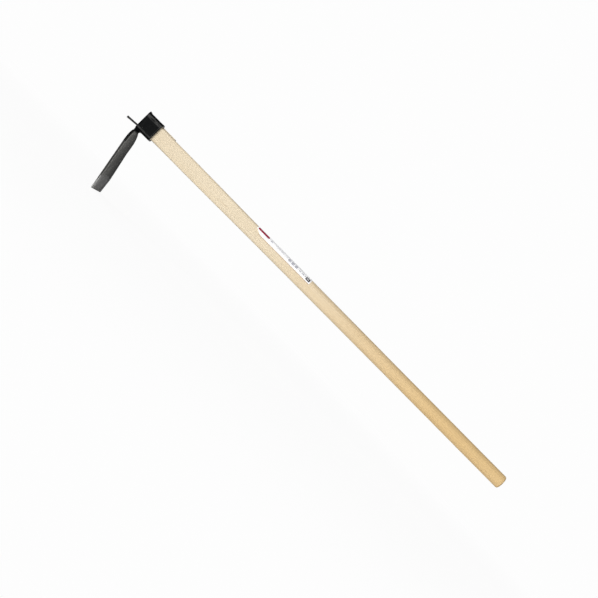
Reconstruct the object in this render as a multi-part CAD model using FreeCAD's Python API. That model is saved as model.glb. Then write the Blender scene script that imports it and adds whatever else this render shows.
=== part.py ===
import FreeCAD, Part
import math
import os

# A draw hoe: a wooden handle, a steel socket wedged on its end, and a plate blade under the socket.
# Millimetres. The handle lies along +X with its butt at +X, the blade hangs towards -Z, and the
# hoe is symmetric about the plane Y = 0. The origin is on the handle's axis, in the plane of the
# socket's front mouth.

# Handle: a rectangular bar at the head that turns into a round grip.
HANDLE_LENGTH = 1050.0
NOSE_RECESS = 2.0             # the handle's end lies this far inside the mouth
HEAD_HEIGHT = 34.8
HEAD_WIDTH = 22.0
HEAD_CORNER = 4.5
HEAD_END = 130.0              # the plain rectangular stretch ends here
GRIP_START = 745.0            # the plain round stretch starts here
GRIP_RADIUS = 15.25
BUTT_DOME_RADIUS = 44.0
BUTT_ROUNDING = 4.0
NOSE_CHAMFER = 0.4
# Between the two plain stretches: distance from the mouth, height, width, corner radius.
HANDLE_STATIONS = [
    (200.0, 34.2, 22.8, 5.2),
    (290.0, 32.8, 24.4, 7.0),
    (420.0, 31.9, 26.6, 9.5),
    (540.0, 31.4, 28.4, 11.6),
    (650.0, 30.9, 29.8, 13.4),
]
ROUND_SPLIT_DEG = 3.0         # half the angle of a round section's short arcs

# Packing shim between the handle's top and the socket.
SHIM_THICKNESS = 1.8
SHIM_WIDTH = 12.5
SHIM_LENGTH = 75.0
SHIM_BEVEL = 1.2

# Socket: a steel strap folded into a ring.
RING_LENGTH = 39.3
RING_WALL = 3.8
RING_INNER_CORNER = 2.6
FRONT_LIP_HEIGHT = 1.0        # both rims are belled by hammering
FRONT_LIP_RAISE = 0.5         # the front one stands higher over the roof than under the floor
REAR_LIP_HEIGHT = 0.4
LIP_LENGTH = 2.4
LIP_FLAT = 0.7

# Weld beads.
SEAM_RADIUS = 1.9
SEAM_PROUD = 0.7
SEAM_END_GAP = 0.6
NECK_BEAD_RADIUS = 1.5
NECK_WELD_GAP = 0.6           # from the front lip to the bead
BLADE_BEAD_RADIUS = 3.6
BLADE_BEAD_DROP = 0.8         # its axis lies this far below the blade's top edge
BLADE_BEAD_HALF = 19.5        # half its length

# Wedge: an iron bar in a slanting kerf near the handle's underside.
WEDGE_TILT_DEG = 4.2          # it rises towards the handle's core on its way in
WEDGE_MOUTH_Z = -14.9         # height of its axis where it crosses the mouth
WEDGE_OUT = 28.0              # from the mouth plane to the struck end
WEDGE_IN = 36.0               # from the mouth plane to the thin end
WEDGE_THICK = 4.4
WEDGE_THIN = 2.7
WEDGE_WIDTH = 16.0
WEDGE_HEAD_THICK = 4.8        # the struck end is spread a little
WEDGE_HEAD_LENGTH = 2.4
WEDGE_ROUNDING = 0.5
KERF_CLEARANCE = 0.05
KERF_EXTRA_DEPTH = 1.0

# Blade: its centre line starts under the neck and leans back under the handle.
BLADE_TOP_X = 4.7
BLADE_TOP_Z = -26.2
BLADE_LEAN_DEG = 11.7
BLADE_LENGTH = 147.0
BLADE_TOP_HALF = 15.0
SHOULDER_RADIUS = 36.5
BLADE_EDGE_HALF = 60.0
BLADE_THICKNESS = 4.0
ROOT_EXTRA = 1.4              # the inner face is this much thicker at the top
ROOT_FLAT = 18.0
ROOT_END = 55.0
BLADE_CORNER = 3.0
EDGE_STEEL_LENGTH = 32.0      # measured up from the cutting edge
EDGE_STEEL_THICKNESS = 1.6
EDGE_STEEL_BOW = 6.0          # the weld line rises by this much in the middle
CUTTING_EDGE_THICKNESS = 0.8

# Neck: the short forged root between the socket and the blade, a saddle around the ring's underside.
NECK_FRONT_X = 1.0
NECK_BACK_X = 12.8
NECK_RISE = 2.5               # its cheeks reach this far up the ring's sides
NECK_TOP_HALF = 15.2
NECK_FOOT_HALF = 19.0
NECK_FOOT_THICKNESS = 7.6
NECK_FOOT_SHIFT = 1.2         # its middle lies this far behind the blade's centre line
NECK_BACK_SAG = 0.6           # depth of the hollow curve at the back

# Paper label over the handle's top.
LABEL_START = 323.0
LABEL_END = 480.0
LABEL_LOW_Z = 4.9
LABEL_CORNER_LENGTH = 14.0    # the two lower corners at the start are cut off
LABEL_CORNER_HEIGHT = 7.0
LABEL_THICKNESS = 0.2

OVERSHOOT = 5.0               # how far cutting tools pass the faces they cut

Vec = FreeCAD.Vector

SOCKET_FLOOR = -HEAD_HEIGHT / 2
SOCKET_ROOF = HEAD_HEIGHT / 2 + SHIM_THICKNESS
RING_BOTTOM = SOCKET_FLOOR - RING_WALL
RING_OUTER_CORNER = RING_INNER_CORNER + RING_WALL
BUTT_X = NOSE_RECESS + HANDLE_LENGTH
RING_MIDDLE = (SOCKET_FLOOR + SOCKET_ROOF) / 2
RING_HEIGHT = SOCKET_ROOF - SOCKET_FLOOR + 2 * RING_WALL
RING_WIDTH = HEAD_WIDTH + 2 * RING_WALL


def section(x, height, width, corner, middle=0.0):
    """A rounded rectangle across the X axis: four sides and four quarter arcs."""
    half_w, half_h = width / 2, height / 2
    diagonal = corner * math.sqrt(0.5)
    edges = []
    for side_y, side_z in [(1, 1), (-1, 1), (-1, -1), (1, -1)]:
        flat_y, flat_z = half_w - corner, half_h - corner
        upright = Vec(x, side_y * half_w, middle + side_z * flat_z)
        bend = Vec(x, side_y * (flat_y + diagonal), middle + side_z * (flat_z + diagonal))
        level = Vec(x, side_y * flat_y, middle + side_z * half_h)
        if side_y == side_z:
            edges.append(Part.Arc(upright, bend, level).toShape())
            edges.append(Part.makeLine(level, Vec(x, -level.y, level.z)))
        else:
            edges.append(Part.Arc(level, bend, upright).toShape())
            edges.append(Part.makeLine(upright, Vec(x, upright.y, 2 * middle - upright.z)))
    return Part.Wire(edges)


def round_section(x, radius):
    """A circle across the X axis, split like a rounded rectangle so that the two loft together."""
    split = ROUND_SPLIT_DEG
    edges = []
    for quarter in range(4):
        start = 90.0 * quarter
        long_end, short_end = start + 90 - split, start + 90 + split
        for first, last in [(start + split, long_end), (long_end, short_end)]:
            ends = [math.radians(angle) for angle in (first, (first + last) / 2, last)]
            points = [Vec(x, radius * math.cos(a), radius * math.sin(a)) for a in ends]
            edges.append(Part.Arc(*points).toShape())
    return Part.Wire(edges)


def prism(wire, length):
    return Part.Face(wire).extrude(Vec(length, 0, 0))


def across(points, half_width):
    """A solid whose outline lies in the XZ plane, reaching half_width to both sides in Y."""
    outline = [Vec(x, -half_width, z) for x, z in points]
    wire = Part.makePolygon(outline + outline[:1])
    return Part.Face(wire).extrude(Vec(0, 2 * half_width, 0))


def handle_bar(grow=0.0):
    """The whole bar without its kerf, with every section grown outwards by the same amount."""
    head = (HEAD_HEIGHT + 2 * grow, HEAD_WIDTH + 2 * grow, HEAD_CORNER + grow)
    nose = prism(section(NOSE_RECESS, *head), HEAD_END - NOSE_RECESS)
    sections = [section(HEAD_END, *head)]
    for x, height, width, corner in HANDLE_STATIONS:
        sections.append(section(x, height + 2 * grow, width + 2 * grow, corner + grow))
    sections.append(round_section(GRIP_START, GRIP_RADIUS + grow))
    taper = Part.makeLoft(sections, True, False)
    return nose, taper, grip(GRIP_RADIUS + grow)


def grip(radius):
    """The round stretch, ending in a shallow dome with a rounded rim."""
    bar = Part.makeCylinder(radius, BUTT_X - GRIP_START, Vec(GRIP_START, 0, 0), Vec(1, 0, 0))
    ball = Part.makeSphere(BUTT_DOME_RADIUS, Vec(BUTT_X - BUTT_DOME_RADIUS, 0, 0))
    end = Part.makeCylinder(radius, BUTT_DOME_RADIUS, Vec(BUTT_X - BUTT_DOME_RADIUS, 0, 0), Vec(1, 0, 0))
    bar = bar.cut(end).fuse(end.common(ball)).removeSplitter()
    rim_x = BUTT_X - BUTT_DOME_RADIUS + math.sqrt(BUTT_DOME_RADIUS ** 2 - radius ** 2)
    rim = [e for e in bar.Edges if abs(e.BoundBox.XMin - rim_x) < 0.01 and e.BoundBox.XLength < 0.01]
    return bar.makeFillet(BUTT_ROUNDING, rim)


def wedge_frame(shape):
    """Moves a shape from the wedge's own frame (+X inwards along its axis) to its place."""
    shape.rotate(Vec(0, 0, 0), Vec(0, 1, 0), -WEDGE_TILT_DEG)
    shape.translate(Vec(0, 0, WEDGE_MOUTH_Z))
    return shape


def wedge_half_thickness(along):
    """Half the wedge's thickness at a distance inwards from the mouth plane."""
    share = (along + WEDGE_OUT) / (WEDGE_IN + WEDGE_OUT)
    return (WEDGE_THICK + (WEDGE_THIN - WEDGE_THICK) * share) / 2


def wedge():
    neck = -WEDGE_OUT + WEDGE_HEAD_LENGTH
    upper = [
        (-WEDGE_OUT, WEDGE_HEAD_THICK / 2 - WEDGE_ROUNDING),
        (-WEDGE_OUT + WEDGE_ROUNDING, WEDGE_HEAD_THICK / 2),
        (neck, wedge_half_thickness(neck)),
        (WEDGE_IN - 2 * WEDGE_ROUNDING, wedge_half_thickness(WEDGE_IN)),
        (WEDGE_IN, WEDGE_THIN / 2 - 2 * WEDGE_ROUNDING),
    ]
    lower = [(x, -z) for x, z in reversed(upper)]
    bar = across(upper + lower, WEDGE_WIDTH / 2)
    long_edges = [e for e in bar.Edges if e.Length > WEDGE_IN]
    return wedge_frame(bar.makeFillet(WEDGE_ROUNDING, long_edges))


def kerf():
    """The saw cut that the wedge fills, open at the handle's end and on both sides."""
    deep = WEDGE_IN + KERF_EXTRA_DEPTH
    mouth = wedge_half_thickness(0) + KERF_CLEARANCE
    bottom = wedge_half_thickness(deep) + KERF_CLEARANCE
    cut = across([(0, mouth), (deep, bottom), (deep, -bottom), (0, -mouth)], HEAD_WIDTH)
    return wedge_frame(cut)


def handle():
    nose, taper, butt = handle_bar()
    end_edges = [e for e in nose.Edges if e.BoundBox.XMax < NOSE_RECESS + 0.01]
    nose = nose.makeChamfer(NOSE_CHAMFER, end_edges)
    return nose.fuse([taper, butt]).removeSplitter().cut(kerf())


def packing_shim():
    low, high = HEAD_HEIGHT / 2, SOCKET_ROOF
    tail = NOSE_RECESS + SHIM_LENGTH
    side = [(NOSE_RECESS, low), (NOSE_RECESS, high), (tail - SHIM_BEVEL, high), (tail, low)]
    return across(side, SHIM_WIDTH / 2)


def ring_section(x, grow=0.0, raised=0.0):
    height, width = RING_HEIGHT + 2 * grow, RING_WIDTH + 2 * grow
    return section(x, height, width, RING_OUTER_CORNER + grow, RING_MIDDLE + raised)


def rim_lip(outer_x, direction, height, raised=0.0):
    """The belled rim: full height over a short flat, then sloping back to the ring's face."""
    flat = prism(ring_section(outer_x, height, raised), direction * LIP_FLAT)
    high = ring_section(outer_x + direction * LIP_FLAT, height, raised)
    low = ring_section(outer_x + direction * LIP_LENGTH)
    return [flat, Part.makeLoft([high, low], True, True)]


def ring_opening():
    height = SOCKET_ROOF - SOCKET_FLOOR
    wire = section(-OVERSHOOT, height, HEAD_WIDTH, RING_INNER_CORNER, RING_MIDDLE)
    return prism(wire, RING_LENGTH + 2 * OVERSHOOT)


def ring_outside():
    """The ring and its seam bead without the opening, for cutting what sits against them."""
    body = prism(ring_section(0), RING_LENGTH)
    front = rim_lip(0, 1, FRONT_LIP_HEIGHT, FRONT_LIP_RAISE)
    rear = rim_lip(RING_LENGTH, -1, REAR_LIP_HEIGHT)
    return body.fuse(front + rear + [ring_seam_weld()]).removeSplitter()


def socket_ring():
    return ring_outside().cut([ring_opening(), ring_seam_weld()])


def ring_seam_weld():
    """The bead that closes the strap along the middle of the ring's underside."""
    centre_z = RING_BOTTOM - SEAM_PROUD + SEAM_RADIUS
    length = RING_LENGTH - 2 * SEAM_END_GAP
    bead = Part.makeCylinder(SEAM_RADIUS, length, Vec(SEAM_END_GAP, 0, centre_z), Vec(1, 0, 0))
    return bead.makeFillet(SEAM_RADIUS / 3, [e for e in bead.Edges if e.BoundBox.XLength < 0.01])


def blade_frame(shape):
    """Moves a shape from the blade's own frame to its place.

    In the blade's frame -Z runs down the blade's centre line and +X points at the handle.
    """
    shape.rotate(Vec(0, 0, 0), Vec(0, 1, 0), -BLADE_LEAN_DEG)
    shape.translate(Vec(BLADE_TOP_X, 0, BLADE_TOP_Z))
    return shape


def blade_outline():
    """The blade's outline in its own frame: round shoulders, flaring sides and small corners."""
    x = -BLADE_THICKNESS
    top, wide, edge = BLADE_TOP_HALF, BLADE_TOP_HALF + SHOULDER_RADIUS, BLADE_EDGE_HALF
    bend = SHOULDER_RADIUS * (1 - math.sqrt(0.5))
    right = Part.makeLine(Vec(x, wide, -SHOULDER_RADIUS), Vec(x, edge, -BLADE_LENGTH))
    left = Part.makeLine(Vec(x, -edge, -BLADE_LENGTH), Vec(x, -wide, -SHOULDER_RADIUS))
    shoulders = []
    for side in (1, -1):
        start = Vec(x, side * top, 0)
        middle = Vec(x, side * (wide - bend), -bend)
        end = Vec(x, side * wide, -SHOULDER_RADIUS)
        shoulders.append(Part.Arc(start, middle, end).toShape())
    bottom = Part.makeLine(Vec(x, edge, -BLADE_LENGTH), Vec(x, -edge, -BLADE_LENGTH))
    crown = Part.makeLine(Vec(x, -top, 0), Vec(x, top, 0))
    return Part.Wire(Part.__sortEdges__([crown, shoulders[0], right, bottom, left, shoulders[1]]))


def blade_blank():
    """The plate and its edge steel as one piece, ground thin towards the cutting edge."""
    blank = prism(blade_outline(), 2 * BLADE_THICKNESS)
    across_plate = [e for e in blank.Edges if e.BoundBox.XLength > BLADE_THICKNESS]
    corners = [e for e in across_plate if e.BoundBox.ZMax < -BLADE_LENGTH + 0.01]
    blank = blank.makeFillet(BLADE_CORNER, corners)
    half = BLADE_THICKNESS / 2
    grind_z = -BLADE_LENGTH + EDGE_STEEL_LENGTH
    side = [
        (-half, OVERSHOOT),
        (half + ROOT_EXTRA, OVERSHOOT),
        (half + ROOT_EXTRA, -ROOT_FLAT),
        (half, -ROOT_END),
        (half, grind_z),
        (-half + CUTTING_EDGE_THICKNESS, -BLADE_LENGTH),
        (-half, -BLADE_LENGTH),
    ]
    return blank.common(across(side, 2 * BLADE_EDGE_HALF))


def edge_steel_bed():
    """The space of the edge steel: the inner layer of the blade below a gently bowed weld line."""
    line_z = -BLADE_LENGTH + EDGE_STEEL_LENGTH
    reach = BLADE_EDGE_HALF + OVERSHOOT
    inner = -BLADE_THICKNESS / 2 + CUTTING_EDGE_THICKNESS / 2
    low = -BLADE_LENGTH - OVERSHOOT
    right, left = Vec(inner, reach, line_z), Vec(inner, -reach, line_z)
    weld_line = Part.Arc(right, Vec(inner, 0, line_z + EDGE_STEEL_BOW), left).toShape()
    rest = Part.makePolygon([left, Vec(inner, -reach, low), Vec(inner, reach, low), right])
    bed = prism(Part.Wire([weld_line] + rest.Edges), BLADE_THICKNESS)
    rise = BLADE_THICKNESS - CUTTING_EDGE_THICKNESS / 2 - EDGE_STEEL_THICKNESS
    slope = math.degrees(math.atan2(rise, EDGE_STEEL_LENGTH))
    bed.rotate(Vec(inner, 0, -BLADE_LENGTH), Vec(0, 1, 0), slope)
    return bed


def blade_bead():
    """The bead between the neck's foot and the blade's top edge."""
    start = Vec(NECK_FOOT_SHIFT, -BLADE_BEAD_HALF, -BLADE_BEAD_DROP)
    bead = Part.makeCylinder(BLADE_BEAD_RADIUS, 2 * BLADE_BEAD_HALF, start, Vec(0, 1, 0))
    ends = [e for e in bead.Edges if e.BoundBox.YLength < 0.01]
    return bead.makeFillet(BLADE_BEAD_RADIUS / 2, ends)


def neck_side():
    """The neck's outline from the side, in the hoe's frame, as a face in the plane Y = 0."""
    lean = math.radians(BLADE_LEAN_DEG)
    through = Vec(math.cos(lean), 0, math.sin(lean))
    foot = Vec(BLADE_TOP_X, 0, BLADE_TOP_Z) + through * NECK_FOOT_SHIFT
    foot_front = foot - through * (NECK_FOOT_THICKNESS / 2)
    foot_back = foot + through * (NECK_FOOT_THICKNESS / 2)
    top_front = Vec(NECK_FRONT_X, 0, RING_BOTTOM + NECK_RISE)
    top_back = Vec(NECK_BACK_X, 0, RING_BOTTOM + NECK_RISE)
    root_back = Vec(NECK_BACK_X, 0, RING_BOTTOM)
    chord = root_back - foot_back
    inward = Vec(-chord.z, 0, chord.x).normalize()
    hollow = (root_back + foot_back) * 0.5 + inward * NECK_BACK_SAG
    edges = [
        Part.makeLine(top_front, foot_front),
        Part.makeLine(foot_front, foot_back),
        Part.Arc(foot_back, hollow, root_back).toShape(),
        Part.makeLine(root_back, top_back),
        Part.makeLine(top_back, top_front),
    ]
    return Part.Face(Part.Wire(edges))


def neck_front():
    """The neck from the front: it widens a little from the ring to the blade's top edge."""
    high, low = RING_BOTTOM + NECK_RISE, BLADE_TOP_Z - OVERSHOOT
    spread = (NECK_FOOT_HALF - NECK_TOP_HALF) * (high - low) / (high - BLADE_TOP_Z)
    outline = [
        Vec(-OVERSHOOT, NECK_TOP_HALF, high),
        Vec(-OVERSHOOT, NECK_TOP_HALF + spread, low),
        Vec(-OVERSHOOT, -NECK_TOP_HALF - spread, low),
        Vec(-OVERSHOOT, -NECK_TOP_HALF, high),
    ]
    return prism(Part.makePolygon(outline + outline[:1]), RING_LENGTH)


def neck_blank():
    slab = neck_side().extrude(Vec(0, 4 * BLADE_TOP_HALF, 0))
    slab.translate(Vec(0, -2 * BLADE_TOP_HALF, 0))
    return slab.common(neck_front()).cut(ring_outside())


def below(z):
    """A large block under the height z, for trimming."""
    size = 2 * RING_HEIGHT
    return Part.makeBox(size, size, size, Vec(-size / 2, -size / 2, z - size))


def neck_weld():
    """The bead around the neck's border on the ring: along both cheeks and across behind the root."""
    radius, top_z = NECK_BEAD_RADIUS, RING_BOTTOM + NECK_RISE
    lower_half = ring_section(NECK_BACK_X).common(below(RING_MIDDLE))
    path = Part.Wire(Part.__sortEdges__(lower_half.Edges))
    start = path.OrderedVertexes[0].Point
    circle = Part.Wire(Part.makeCircle(radius, start, Vec(0, 0, 1)))
    bead = path.makePipeShell([circle], True, False).common(below(top_z + radius))
    corner_drop = RING_OUTER_CORNER - NECK_RISE
    corner_reach = math.sqrt(RING_OUTER_CORNER ** 2 - corner_drop ** 2)
    half_width = RING_WIDTH / 2 - RING_OUTER_CORNER + corner_reach
    front = LIP_LENGTH + NECK_WELD_GAP
    for side in (-1, 1):
        base = Vec(front, side * half_width, top_z)
        bead = bead.fuse(Part.makeCylinder(radius, NECK_BACK_X - front, base, Vec(1, 0, 0)))
    return bead.cut([ring_outside(), neck_blank()])


def label():
    """Paper wrapped over the handle's top and down both sides, with cut corners at its start."""
    skin = handle_bar(LABEL_THICKNESS)[1].cut(handle_bar()[1])
    outline = [
        (LABEL_START, HEAD_HEIGHT),
        (LABEL_START, LABEL_LOW_Z + LABEL_CORNER_HEIGHT),
        (LABEL_START + LABEL_CORNER_LENGTH, LABEL_LOW_Z),
        (LABEL_END, LABEL_LOW_Z),
        (LABEL_END, HEAD_HEIGHT),
    ]
    return skin.common(across(outline, HEAD_HEIGHT))


def hoe():
    """Every node's name and its solid."""
    bead = blade_frame(blade_bead())
    blank = blade_frame(blade_blank())
    bed = blade_frame(edge_steel_bed())
    return {
        "handle": handle(),
        "packing_shim": packing_shim(),
        "wedge": wedge(),
        "socket_ring": socket_ring(),
        "ring_seam_weld": ring_seam_weld(),
        "neck": neck_blank().cut(bead),
        "neck_weld": neck_weld(),
        "blade_weld": bead,
        "blade_plate": blank.cut([bed, bead]),
        "edge_steel": blank.common(bed),
        "label": label(),
    }


os.makedirs("parts", exist_ok=True)
for name, shape in hoe().items():
    shape.exportStep("parts/" + name + ".step")
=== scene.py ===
import math

import bmesh
import bpy
from mathutils import Matrix, Vector, noise


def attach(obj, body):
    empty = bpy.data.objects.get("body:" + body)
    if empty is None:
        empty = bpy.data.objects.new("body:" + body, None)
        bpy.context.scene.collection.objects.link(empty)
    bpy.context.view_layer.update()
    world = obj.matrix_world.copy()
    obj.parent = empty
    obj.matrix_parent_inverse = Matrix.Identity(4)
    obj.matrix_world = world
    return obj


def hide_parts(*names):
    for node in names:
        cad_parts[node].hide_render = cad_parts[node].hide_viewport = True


# A draw hoe in the row frame: handle along +X, blade towards -Z, symmetric about Y = 0.
# The shapes are written in millimetres and scaled to metres when a mesh is made.

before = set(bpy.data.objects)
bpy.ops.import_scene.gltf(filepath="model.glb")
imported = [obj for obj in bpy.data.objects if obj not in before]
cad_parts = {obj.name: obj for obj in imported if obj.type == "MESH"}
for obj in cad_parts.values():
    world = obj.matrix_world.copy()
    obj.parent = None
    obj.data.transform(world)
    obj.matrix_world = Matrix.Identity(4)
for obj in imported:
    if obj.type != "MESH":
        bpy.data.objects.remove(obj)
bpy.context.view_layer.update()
MM = 0.001

# ---------------------------------------------------------------- dimensions

HEAD_X, GRIP_X = 130.0, 745.0
NOSE_X = 2.0
GRIP_RADIUS = 15.25
# distance from the socket's mouth, height, width, corner radius
HANDLE_STATIONS = [
    (HEAD_X, 34.8, 22.0, 4.5),
    (200.0, 34.2, 22.8, 5.2),
    (290.0, 32.8, 24.4, 7.0),
    (420.0, 31.9, 26.6, 9.5),
    (540.0, 31.4, 28.4, 11.6),
    (650.0, 30.9, 29.8, 13.4),
    (GRIP_X, 2 * GRIP_RADIUS, 2 * GRIP_RADIUS, GRIP_RADIUS),
]
DOME_CENTRE_X, DOME_RADIUS = 1008.0, 44.0
BUTT_ROUNDING = 4.0
BUTT_START_X = 1040.0
# how far the handle's end is drawn in, and at what distance from the end
NOSE_STEPS = [(0.4, 0.0), (0.15, 0.12), (0.0, 0.45)]
HANDLE_SIDES = 144

SHIM_LOW, SHIM_HIGH, SHIM_HALF_WIDTH, SHIM_END = 17.4, 19.17, 6.25, 77.0

SOCKET_HEIGHT, SOCKET_WIDTH, SOCKET_CORNER, SOCKET_MIDDLE = 36.6, 22.0, 2.6, 0.9
RING_LENGTH, RING_WALL = 39.3, 3.8
FRONT_LIP_RAISE = 0.5
RING_BOTTOM = SOCKET_MIDDLE - SOCKET_HEIGHT / 2 - RING_WALL
RING_HALF_WIDTH = SOCKET_WIDTH / 2 + RING_WALL
RING_OUTER_CORNER = SOCKET_CORNER + RING_WALL

WEDGE_TILT = math.radians(4.2)
WEDGE_MOUTH_Z = -14.9
WEDGE_OUT, WEDGE_IN = 28.0, 36.0
WEDGE_THICK, WEDGE_THIN, WEDGE_WIDTH = 4.4, 2.7, 16.0
WEDGE_ROUNDING = 0.5
# distance from the mouth, thickness, width: the spread struck end, and the thin end
WEDGE_HEAD_STATIONS = [(-WEDGE_OUT, 4.0, 15.2), (-27.85, 4.5, 15.8), (-27.5, 4.78, WEDGE_WIDTH),
                       (-26.9, 4.8, WEDGE_WIDTH), (-26.2, 4.6, 15.98), (-25.6, 4.36, 15.96)]
WEDGE_TIP_STATIONS = [(WEDGE_IN - 0.5, 2.4, 15.6), (WEDGE_IN, 1.6, 15.0)]
KERF_CLEARANCE, KERF_EXTRA_DEPTH, KERF_OVERSHOOT, KERF_HALF_WIDTH = 0.05, 1.0, 3.0, 20.0

BLADE_LEAN = math.radians(11.7)
BLADE_TOP = Vector((4.7, 0.0, -26.2))
BLADE_LENGTH = 147.0
BLADE_TOP_HALF, SHOULDER_RADIUS, BLADE_EDGE_HALF = 15.0, 36.5, 60.0
BLADE_HALF_THICKNESS = 2.0
ROOT_EXTRA, ROOT_FLAT, ROOT_END = 1.4, 18.0, 55.0
BLADE_CORNER = 3.0
STEEL_LENGTH, STEEL_THICKNESS, STEEL_BOW = 32.0, 1.6, 6.0
EDGE_THICKNESS = 0.8

NECK_RISE = 2.5               # its cheeks reach this far up the socket's sides
NECK_TOP_Z = RING_BOTTOM + NECK_RISE
NECK_FOOT_THICKNESS, NECK_FOOT_SHIFT = 7.6, 1.2
NECK_FRONT_X, NECK_BACK_X = 1.0, 12.8
NECK_TOP_HALF, NECK_FOOT_HALF = 15.2, 19.0
NECK_BACK_SAG = 0.6
BLADE_BEAD_RADIUS, BLADE_BEAD_DROP, BLADE_BEAD_HALF = 3.55, 0.8, 19.4
SEAM_RADIUS, SEAM_PROUD, NECK_BEAD_RADIUS = 1.85, 0.72, 1.5
BEAD_STEP = 0.32              # between the cross-sections of a weld bead

LABEL_START, LABEL_END, LABEL_LOW_Z = 323.0, 480.0, 4.9
LABEL_CORNER_LENGTH, LABEL_CORNER_HEIGHT = 14.0, 7.0

# ---------------------------------------------------------------- mesh helpers


def lerp(a, b, share):
    return a + (b - a) * share


def spread(first, last, count):
    """Evenly spaced values from first to last."""
    return [lerp(first, last, i / (count - 1)) for i in range(count)]


def wobble(point, size, seed=0.0):
    """Smooth noise between about -1 and 1 whose features are this many millimetres wide."""
    return noise.noise(Vector(point) / size + Vector((seed, seed * 1.7, -seed)))


def loft(loops, caps=True):
    """Vertices and faces of a skin over closed loops with equal numbers of points."""
    count = len(loops[0])
    verts = [point for loop in loops for point in loop]
    faces = []
    for row in range(len(loops) - 1):
        for i in range(count):
            j = (i + 1) % count
            a, b = row * count, (row + 1) * count
            faces.append((a + i, a + j, b + j, b + i))
    if caps:
        faces.append(tuple(reversed(range(count))))
        start = (len(loops) - 1) * count
        faces.append(tuple(range(start, start + count)))
    return verts, faces


def make_mesh(name, verts, faces, sharp=38):
    """A clean object from millimetre vertices; edges sharper than this many degrees stay hard."""
    mesh = bpy.data.meshes.new(name)
    mesh.from_pydata([Vector(v) * MM for v in verts], [], faces)
    work = bmesh.new()
    work.from_mesh(mesh)
    bmesh.ops.remove_doubles(work, verts=work.verts, dist=1e-7)
    bmesh.ops.dissolve_degenerate(work, edges=work.edges, dist=1e-7)
    bmesh.ops.recalc_face_normals(work, faces=work.faces)
    work.to_mesh(mesh)
    work.free()
    shade(mesh, sharp)
    obj = bpy.data.objects.new(name, mesh)
    bpy.context.scene.collection.objects.link(obj)
    return obj


def shade(mesh, sharp):
    for polygon in mesh.polygons:
        polygon.use_smooth = True
    mesh.set_sharp_from_angle(angle=math.radians(sharp))


def piece(obj, material, node, body="hoe"):
    """Gives a finished mesh its material and puts it in the place of its CAD node."""
    obj.data.materials.clear()
    obj.data.materials.append(material)
    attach(obj, body)
    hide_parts(node)
    return obj


def ray_section(height, width, corner, angle):
    """Where a ray from the centre at this angle meets a rounded rectangle, as (y, z)."""
    half_w, half_h = width / 2, height / 2
    flat_w, flat_h = half_w - corner, half_h - corner
    cos, sin = math.cos(angle), math.sin(angle)
    ay, az = max(abs(cos), 1e-9), max(abs(sin), 1e-9)
    if az * half_w / ay <= flat_h:
        reach = half_w / ay
    elif ay * half_h / az <= flat_w:
        reach = half_h / az
    else:
        along = ay * flat_w + az * flat_h
        beyond = flat_w ** 2 + flat_h ** 2 - corner ** 2
        reach = along + math.sqrt(max(along ** 2 - beyond, 0.0))
    return reach * cos, reach * sin


def rounded_loop(height, width, corner, middle, per_corner, per_flat):
    """Points (y, z, normal y, normal z) round a rounded rectangle."""
    flat_w, flat_h = width / 2 - corner, height / 2 - corner
    points = []
    for quarter in range(4):
        start = quarter * math.pi / 2
        sy = 1 if quarter in (0, 3) else -1
        sz = 1 if quarter in (0, 1) else -1
        for i in range(per_corner + 1):
            a = start + math.pi / 2 * i / per_corner
            points.append((sy * flat_w + corner * math.cos(a),
                           sz * flat_h + corner * math.sin(a) + middle,
                           math.cos(a), math.sin(a)))
        y, z, ny, nz = points[-1]
        next_y = -sy * flat_w if quarter in (0, 2) else y
        next_z = middle - sz * flat_h if quarter in (1, 3) else z
        for i in range(1, per_flat):
            share = i / per_flat
            points.append((lerp(y, next_y, share), lerp(z, next_z, share), ny, nz))
    return points


def tilted(x, y, z, angle, origin):
    """A point of a frame turned about Y, with +X rising by the angle, moved to its origin."""
    cos, sin = math.cos(angle), math.sin(angle)
    return Vector((x * cos - z * sin, y, x * sin + z * cos)) + Vector(origin)


# ---------------------------------------------------------------- handle, shim and label


def handle_size(x):
    """Height, width and corner radius of the handle at a distance from the mouth."""
    table = HANDLE_STATIONS
    if x <= table[0][0]:
        return table[0][1:]
    if x >= table[-1][0]:
        return table[-1][1:]
    i = max(k for k in range(len(table) - 1) if table[k][0] <= x)
    share = (x - table[i][0]) / (table[i + 1][0] - table[i][0])
    before, after = table[max(i - 1, 0)], table[min(i + 2, len(table) - 1)]
    size = []
    for k in range(1, 4):
        p0, p1, p2, p3 = before[k], table[i][k], table[i + 1][k], after[k]
        size.append(p1 + 0.5 * share * (p2 - p0 + share * (2 * p0 - 5 * p1 + 4 * p2 - p3
                    + share * (3 * (p1 - p2) + p3 - p0))))
    height, width, corner = size
    return height, width, min(corner, height / 2, width / 2)


def handle_point(x, angle, grow=0.0):
    height, width, corner = handle_size(x)
    y, z = ray_section(height + 2 * grow, width + 2 * grow, corner + grow, angle)
    dent = 0.10 * wobble((x * 0.35, y, z), 16.0, 3.0) + 0.04 * wobble((x * 0.3, y, z), 5.0, 8.0)
    shrink = 1 + (dent - 0.10) / math.hypot(y, z)
    return Vector((x, y * shrink, z * shrink))


def butt_profile():
    """(x, radius) from the end of the round stretch over the rounded rim to the dome's pole."""
    rim_radius = GRIP_RADIUS - BUTT_ROUNDING
    rim_x = DOME_CENTRE_X + math.sqrt((DOME_RADIUS - BUTT_ROUNDING) ** 2 - rim_radius ** 2)
    tangent = math.asin(rim_radius / (DOME_RADIUS - BUTT_ROUNDING))
    profile = []
    for a in spread(math.pi / 2, tangent, 9):
        profile.append((rim_x + BUTT_ROUNDING * math.cos(a), rim_radius + BUTT_ROUNDING * math.sin(a)))
    for a in spread(tangent, 0.012, 8)[1:]:
        profile.append((DOME_CENTRE_X + DOME_RADIUS * math.cos(a), DOME_RADIUS * math.sin(a)))
    return profile


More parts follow.
